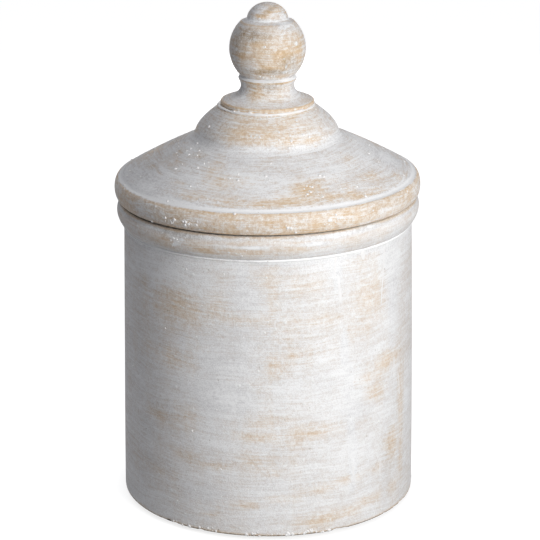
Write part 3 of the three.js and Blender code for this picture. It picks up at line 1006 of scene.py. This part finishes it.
# Patches at random round the back: how many, and the ranges of their run along the outline, of their
# half width and half height, and of their strength
JAR_WEAR_BEHIND = [
    (42, (95, 252), (8, 30), (3, 14), (0.2, 0.5)),
    (5, (258, 268), (12, 30), (2, 4), (0.3, 0.5)),
]
LID_WEAR_BEHIND = [
    (14, (28, 72), (7, 20), (3, 8), (0.25, 0.55)),
    (7, (78, 96), (8, 20), (4, 8), (0.3, 0.5)),
    (6, (16, 22), (20, 40), (6, 9), (0.3, 0.5)),
]
FINIAL_WEAR_BEHIND = [(9, (150, 215), (5, 12), (3, 9), (0.4, 0.8))]
JAR_SPATTER_BEHIND = [(4, (100, 265), (4, 12), (2, 6), (0.1, 0.5))]
LID_SPATTER_BEHIND = [(6, (14, 90), (4, 12), (2, 6), (0.2, 0.8))]
FOOT_NIBS_BEHIND = [(9, (87.5, 89), (4, 14), (1.5, 2.2), (0.4, 1.0))]


def strewn(count, *ranges):
    """That many patches round the back, with their numbers drawn from the ranges, the angle first."""
    chance = random.Random(count)
    return [[chance.uniform(*ends) for ends in (BEHIND, *ranges)] for _ in range(count)]


def patch_mask(brush, angle, run, wide, tall):
    """How much of a patch lies on each point: all of it in the middle, and nothing past its edge."""
    turn = np.arctan2(brush[:, 1], brush[:, 0]) - angle
    across = ((turn + math.pi) % (2 * math.pi) - math.pi) * np.hypot(brush[:, 0], brush[:, 1])
    distance = (across / wide) ** 2 + ((brush[:, 2] - run) / tall) ** 2
    return np.exp(-(distance**1.2))


def masked(piece, seen, behind=()):
    """For each point of a piece, the strongest of the patches on it."""
    mesh = piece.data
    brush = read(mesh, "brush") / MM
    surface = surface_of(piece)
    most = np.zeros(len(brush))
    for x, y, wide, tall, strength in seen:
        _, face = under_pixel(surface, x, y)
        corner = brush[mesh.polygons[face].vertices[0]]
        mask = patch_mask(brush, math.atan2(corner[1], corner[0]), corner[2], wide, tall)
        most = np.maximum(most, mask * strength)
    for row in behind:
        for *patch, strength in strewn(*row):
            most = np.maximum(most, patch_mask(brush, *patch) * strength)
    return most


def surface_of(piece):
    places = [v.co.copy() for v in piece.data.vertices]
    return BVHTree.FromPolygons(places, [list(p.vertices) for p in piece.data.polygons])


def store(piece, name, values):
    """Stores a number for each point of a piece, for its material or for what is scattered on it."""
    attributes = piece.data.attributes
    attribute = attributes.get(name) or attributes.new(name, "FLOAT", "POINT")
    attribute.data.foreach_set("value", np.asarray(values, np.float32))


def daub(piece, added, wiped=()):
    """Adds slip to what already gathered on a piece, and wipes some of it thin."""
    form = read(piece.data, "form")
    form[:, 0] = np.maximum(form[:, 0], masked(piece, added)) * (1 - masked(piece, wiped))
    piece.data.attributes["form"].data.foreach_set("vector", form.ravel())


def wear_away(piece, seen, behind, least=0.0):
    """Rubs the wash off a piece in patches, and everywhere at least so much."""
    store(piece, "wear", np.maximum(masked(piece, seen, behind), least))


def jar_painted_shade_and_dirt(jar):
    """Painted shade: a dark line along the underside of the foot's edge, shade on the rim's top in the
    gap under the lid, and shade with some dirt on its shoulder just below the lid, darkest at the left,
    the shadow side."""
    brush = read(jar.data, "brush") / MM
    height = read(jar.data, "position")[:, 2] / MM
    radius = np.hypot(brush[:, 0], brush[:, 1])
    side = rightness(brush)
    # painted shade along the underside of the foot's edge
    foot_edge = np.clip((UNDERSIDE + 1.2 - height) / 0.8, 0, 1) * within(radius, FOOT_RADIUS - 1.8)
    # painted shade on the rim's top, in the gap under the lid
    ledge = within(height, RIM_TOP - 3) * within(radius, MOUTH_RADIUS + 1, RIM_TOP_RADIUS - 1)
    shoulder = within(radius, RIM_TOP_RADIUS - 2) * within(height, CREASE + 4)
    below_gap = np.clip(RIM_TOP - RIM_GAP - height, 0, 50)
    # painted shade with some dirt just below the lid's edge, darkest at the left, the shadow side
    shade_and_dirt_below_lid = 0.6 * np.clip(0.1 - side, 0.15, 1) * np.exp(-below_gap / 1.6) * shoulder
    return np.maximum(np.maximum(0.85 * foot_edge, 0.6 * (0.65 - 0.35 * side) * ledge), shade_and_dirt_below_lid)


def lid_seat_painted_shade(brush):
    """Painted shade on the lid's seat outside its spigot, in the gap over the rim, darkest at the left, the
    shadow side.
    """
    radius = np.hypot(brush[:, 0], brush[:, 1])
    on_seat = within(brush[:, 2], high=SEAT_END) * within(radius, SPIGOT_OUTER - 0.1)
    return (0.65 - 0.35 * rightness(brush)) * on_seat


# Slip that ran down the jar: the pixels of the photograph that it passed, and its half width
RUNS = [
    ([(336, 257), (335, 268), (335, 278)], 0.5),
    ([(338, 276), (339, 284), (341, 303)], 0.9),
    ([(384, 245), (384, 260), (383, 274), (382, 290), (381, 306)], 0.6),
    ([(363, 250), (363.5, 260)], 0.8),
    ([(353, 466), (354, 481)], 0.7),
    ([(394, 356), (394, 378)], 0.7),
    ([(398, 373), (399, 384), (399.5, 395)], 0.6),
    ([(275, 321), (275, 329)], 0.5),
    ([(380, 461), (380, 474)], 0.5),
]
BACK_RUNS = 6
BACK_RUN_TOPS = (2, 2, 60, 90)  # how far below the crease a run at the back may start
RUN_DEPTH = 3.0  # how deep the middle of a run lies in the wall, so that only a low bead stands out


def on_wall(surface, angle, height):
    """The point of the wall at an angle and height."""
    outward = Vector((math.cos(angle), math.sin(angle), 0))
    return surface.ray_cast(outward * 0.2 + Vector((0, 0, height * MM)), -outward)[0]


def run_paths(jar):
    """The paths of the runs on the wall, as lines, with how far each stands out stored on its points."""
    surface = surface_of(jar)
    chance = random.Random(4)
    paths = [([under_pixel(surface, *pixel)[0] for pixel in pixels], width) for pixels, width in RUNS]
    for _ in range(BACK_RUNS):
        angle, top = chance.uniform(*BEHIND), CREASE - chance.choice(BACK_RUN_TOPS)
        length = chance.uniform(10, 34)
        steps = [
            on_wall(surface, angle + chance.uniform(-0.008, 0.008), top - length * i / 4) for i in range(5)
        ]
        paths.append((steps, chance.uniform(0.4, 0.8)))
    points, edges, heights = [], [], []
    for steps, width in paths:
        edges += [(len(points) + i, len(points) + i + 1) for i in range(len(steps) - 1)]
        for point in steps:
            inward = Vector((-point.x, -point.y, 0)).normalized()
            points.append(point + inward * RUN_DEPTH * MM)
            heights.append((math.hypot(RUN_DEPTH, width) - RUN_DEPTH) * MM)
    mesh = bpy.data.meshes.new("run_paths")
    mesh.from_pydata(points, edges, [])
    mesh.attributes.new("height", "FLOAT", "POINT").data.foreach_set("value", heights)
    return new_piece("run_paths", mesh)


def running_tree():
    """Slip that ran down: a smooth bead along each path, uneven, thin at its start and fat at its end."""
    lengths = dict.fromkeys(("Depth", "Unevenness", "Spacing"), "Float")
    tree, given = new_tree("slip that ran down", {"Paths": "Geometry", **lengths, "Finish": "Material"})
    lines = add(tree, "GeometryNodeMeshToCurve", {"Mesh": given["Paths"]})
    bent = add(tree, "GeometryNodeCurveSplineType", {"Curve": lines}, spline_type="CATMULL_ROM")
    even = add(tree, "GeometryNodeResampleCurve", {"Curve": bent, "Length": given["Spacing"]}, mode="LENGTH")
    along = add(tree, "GeometryNodeSplineParameter").outputs["Factor"]
    rest = add(tree, "ShaderNodeMath", {0: 1.0, 1: along}, operation="SUBTRACT")
    ends = add(tree, "ShaderNodeMath", {0: along, 1: rest}, operation="MULTIPLY")
    taper = add(tree, "ShaderNodeMapRange", {"Value": ends, "From Max": 0.05, "To Min": -0.2})
    drop = add(tree, "ShaderNodeMath", {0: along, 1: 6.0}, operation="POWER")
    fat = add(tree, "ShaderNodeMath", {0: drop, 1: 0.4, 2: 0.8}, operation="MULTIPLY_ADD")
    waver = add(tree, "ShaderNodeTexNoise", {"Scale": 160.0, "Detail": 3.0})
    centred = add(tree, "ShaderNodeMath", {0: waver, 1: 0.5}, operation="SUBTRACT")
    swelling = {0: centred, 1: given["Unevenness"], 2: fat}
    uneven = add(tree, "ShaderNodeMath", swelling, operation="MULTIPLY_ADD")
    height = add(tree, "GeometryNodeInputNamedAttribute", {0: "height"}, data_type="FLOAT")
    shaped = add(tree, "ShaderNodeMath", {0: uneven, 1: taper}, operation="MULTIPLY")
    radius = add(tree, "ShaderNodeMath", {0: shaped, 1: height, 2: given["Depth"]}, operation="MULTIPLY_ADD")
    circle = add(tree, "GeometryNodeCurvePrimitiveCircle", {"Resolution": 32, "Radius": 1.0})
    swept = {"Curve": even, "Profile Curve": circle, "Scale": radius, "Fill Caps": True}
    return end_tree(tree, add(tree, "GeometryNodeCurveToMesh", swept), given["Finish"])


def spattering_tree():
    """Drops of slip flicked over a surface: many small and few large, each a low dome sunk into it."""
    inputs = {"Surface": "Geometry", "Drops per square metre": "Float", "Largest": "Float", "Seed": "Int"}
    tree, given = new_tree("spattered slip", {**inputs, "Finish": "Material"})
    seed = given["Seed"]
    share = add(tree, "GeometryNodeInputNamedAttribute", {0: "spatter"}, data_type="FLOAT")
    density = {0: share, 1: given["Drops per square metre"]}
    density = add(tree, "ShaderNodeMath", density, operation="MULTIPLY")
    spread = {"Mesh": given["Surface"], "Density": density, "Seed": seed}
    points = add(tree, "GeometryNodeDistributePointsOnFaces", spread)
    chance = add(tree, "FunctionNodeRandomValue", {"Min": 0.45, "Max": 1.0, "Seed": seed}, data_type="FLOAT")
    rare = add(tree, "ShaderNodeMath", {0: chance.outputs[1], 1: 3.0}, operation="POWER")
    size = add(tree, "ShaderNodeMath", {0: rare, 1: given["Largest"]}, operation="MULTIPLY")
    low = add(tree, "ShaderNodeMath", {0: size, 1: 0.45}, operation="MULTIPLY")
    drops = {
        "Points": points,
        "Instance": add(tree, "GeometryNodeMeshUVSphere", {"Segments": 8, "Rings": 5, "Radius": 1.0}),
        "Rotation": points.outputs["Rotation"],
        "Scale": add(tree, "ShaderNodeCombineXYZ", {0: size, 1: size, 2: low}),
    }
    return end_tree(tree, add(tree, "GeometryNodeInstanceOnPoints", drops), given["Finish"])


def spattered(surface, name, least, seen, behind=(), *, drops, largest, seed):
    """A piece of spatter over a surface: its drops per square metre where it is thickest, and the radius
    of the largest in metres."""
    store(surface, "spatter", np.maximum(least, masked(surface, seen, behind)))
    inputs = {"Drops per square metre": drops, "Largest": largest, "Seed": seed, "Finish": slip}
    return made_by(spatter, surface, name, inputs)


# Stage and light. For each softbox: its azimuth to the right of the camera, its elevation, distance
# and width, and how bright it makes a white card that faces it at the pot

SOFTBOXES = {
    "key_softbox": (34, 17, 0.9, 0.35, 0.8),
    "left_softbox": (-100, 12, 1.2, 0.8, 0.045),
    "top_softbox": (-25, 70, 1.2, 0.8, 0.165),
    "back_softbox": (180, 4, 1.2, 0.5, 0.22),
}
FLOOR_REACH = 5  # metres, from the middle of the floor to its edges


def seen_directly(tree):
    """One for the camera's sight and what it sees in gloss or through glass, and nought for light."""
    path = add(tree, "ShaderNodeLightPath").outputs
    seen = path["Is Camera Ray"]
    for kind in ("Is Glossy Ray", "Is Transmission Ray"):
        seen = add(tree, "ShaderNodeMath", {0: seen, 1: path[kind]}, operation="MAXIMUM")
    return seen


def studio_paper():
    """A plain white floor. The camera sees it as white paper that keeps the pot's shadow."""
    material, tree = new_material("studio_paper")
    tree.nodes.clear()
    paper = add(tree, "ShaderNodeBsdfDiffuse", {"Color": linear("#b4b4b4")})
    tinted = add(tree, "ShaderNodeBsdfDiffuse", {"Color": (0.3, 0.3, 0.3, 1)})
    contact = add(tree, "ShaderNodeAmbientOcclusion", {"Distance": 0.012}).outputs["AO"]
    lift = add(tree, "ShaderNodeMapRange", {"Value": contact, "To Min": 0.76, "To Max": 0.94})
    glow = add(tree, "ShaderNodeEmission", {"Strength": lift})
    shown = add(tree, "ShaderNodeAddShader", {0: tinted, 1: glow})
    both = add(tree, "ShaderNodeMixShader", {0: seen_directly(tree), 1: paper, 2: shown})
    add(tree, "ShaderNodeOutputMaterial", {0: both})
    return material


def set_stage():
    floor = bpy.data.meshes.new("studio_floor")
    corners = [(x * FLOOR_REACH, y * FLOOR_REACH, 0) for x, y in ((-1, -1), (1, -1), (1, 1), (-1, 1))]
    floor.from_pydata(corners, [], [(0, 1, 2, 3)])
    floor.materials.append(studio_paper())
    new_piece("studio_floor", floor)


def set_world():
    world = bpy.data.worlds.new("white_room")
    bpy.context.scene.world = world
    world.use_nodes = True
    tree = world.node_tree
    tree.nodes.clear()
    room = add(tree, "ShaderNodeBackground", {"Color": linear("#e9ebf8"), "Strength": 0.19})
    white = add(tree, "ShaderNodeBackground", {"Color": (1, 1, 1, 1), "Strength": 1.0})
    both = add(tree, "ShaderNodeMixShader", {0: seen_directly(tree), 1: room, 2: white})
    add(tree, "ShaderNodeOutputWorld", {0: both})


def add_softbox(name, azimuth, elevation, distance, width, strength):
    """A square softbox that points at the middle of the rim."""
    lamp = bpy.data.lights.new(name, "AREA")
    lamp.size = width
    lamp.energy = strength * (math.pi * distance) ** 2
    a, e = math.radians(azimuth), math.radians(elevation)
    towards = Vector((math.sin(a) * math.cos(e), -math.cos(a) * math.cos(e), math.sin(e)))
    stand = new_piece(name, lamp)
    stand.location = Vector((0, 0, RIM_TOP * MM)) + towards * distance
    stand.rotation_euler = towards.to_track_quat("Z", "Y").to_euler()
    stand.visible_camera = False


# Assembly


def settle(piece, body, node=None):
    """Puts a piece on its body, in place of its CAD node if it has one."""
    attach(piece, body)
    if node:
        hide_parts(node)


set_camera()
set_stage()
set_world()
for name, setting in SOFTBOXES.items():
    add_softbox(name, *setting)

wheel = turning_tree()
spatter = spattering_tree()
jar_finish = limewashed_stoneware("limewashed_stoneware_jar", hold=0.92, sway=0.009, uneven=0.65)
lid_finish = limewashed_stoneware("limewashed_stoneware_lid", hold=0.93, sway=0.015, uneven=1.0)
finial_finish = limewashed_stoneware("limewashed_stoneware_finial", hold=0.93, sway=0.008, uneven=1.0)
slip = white_slip()
felt = pressed_felt()

jar = turned_piece("thrown_jar", jar_profile(), jar_finish, steps=350, reach=1.6)
lid = turned_piece("thrown_lid", lid_profile(), lid_finish, steps=360, reach=1.6)
finial = turned_piece("turned_finial", finial_profile(), finial_finish, steps=200, reach=1.2)
bead = turned_piece("slip_bead", bead_profile(), slip, steps=220, reach=1.2, lumps=0.0017, lump_scale=190.0)

untrue(jar.data)
chip_foot(jar.data)
for piece in (lid, bead):
    move(piece.data, leaned(read(piece.data, "position"), LID_LEAN))

# The band round the lid's edge is handled most, so much of its wash is gone
jar_run = read(jar.data, "brush")[:, 2] / MM
lid_brush = read(lid.data, "brush") / MM
wear_away(jar, JAR_WEAR, JAR_WEAR_BEHIND)
wear_away(lid, LID_WEAR, LID_WEAR_BEHIND, least=0.3 * within(lid_brush[:, 2], *BAND_RUN))
wear_away(finial, FINIAL_WEAR, FINIAL_WEAR_BEHIND, least=0.16)
# Dark marks: dirt, and painted shade under the foot, in and below the gap under the lid, down the jar's right
# edge, and on the ball's left side and under it
store(jar, "dust_and_shade", np.maximum(jar_painted_shade_and_dirt(jar), masked(jar, JAR_GRIME_AND_SHADE)))
store(lid, "dust_and_shade", np.maximum(lid_seat_painted_shade(lid_brush), masked(lid, LID_GRIME_AND_SHADE)))
store(finial, "dust_and_shade", masked(finial, FINIAL_GRIME_AND_SHADE))
daub(jar, JAR_DAUBS, JAR_WIPED)
daub(lid, LID_DAUBS)
daub(finial, FINIAL_DAUBS)

few = 0.004 * within(jar_run, *JAR_OUTSIDE)
jar_spatter = spattered(
    jar, "slip_spatter_jar", few, JAR_SPATTER, JAR_SPATTER_BEHIND, drops=3e5, largest=0.0008, seed=3
)
foot_nibs = spattered(
    jar, "slip_nibs_on_foot", 0.0, FOOT_NIBS, FOOT_NIBS_BEHIND, drops=6e5, largest=0.0011, seed=11
)
few = 0.02 * within(lid_brush[:, 2], *LID_OUTSIDE)
lid_spatter = spattered(
    lid, "slip_spatter_lid", few, LID_SPATTER, LID_SPATTER_BEHIND, drops=4e5, largest=0.001, seed=5
)
bead_nibs = spattered(bead, "slip_nibs_on_bead", 0.12, BEAD_NIBS, drops=6e5, largest=0.0016, seed=9)
few = 0.02 * within(read(finial.data, "position")[:, 2] / MM, FLANGE_TOP + 2)
finial_spatter = spattered(
    finial, "slip_spatter_finial", few, FINIAL_SPATTER, drops=3e5, largest=0.0008, seed=7
)
paths = run_paths(jar)
run_inputs = {"Depth": RUN_DEPTH * MM, "Unevenness": 1.2, "Spacing": 0.0008, "Finish": slip}
runs = made_by(running_tree(), paths, "slip_runs", run_inputs)
bpy.data.objects.remove(paths)


for piece in (jar_spatter, foot_nibs, runs):
    settle(piece, "jar")
for piece in (lid_spatter, bead_nibs, finial_spatter):
    settle(piece, "lid")
settle(jar, "jar", "jar")
settle(lid, "lid", "lid")
settle(finial, "lid", "finial")
settle(bead, "lid", "finial_bedding")

for i in range(4):
    angle = (i + 0.5) * math.pi / 2
    matted = {"lumps": 0.0003, "lump_scale": 900.0, "unevenness": 0.0}
    pad = turned_piece(f"felt_disc_{i + 1}", pad_profile(), felt, steps=60, reach=0.5, **matted)
    points = read(pad.data, "position")
    points[:, 2] = np.maximum(points[:, 2], 0)
    middle = np.array([math.cos(angle), math.sin(angle), 0]) * PAD_CIRCLE * MM
    move(pad.data, points + middle)
    settle(pad, "jar", f"felt_pad_{i + 1}")
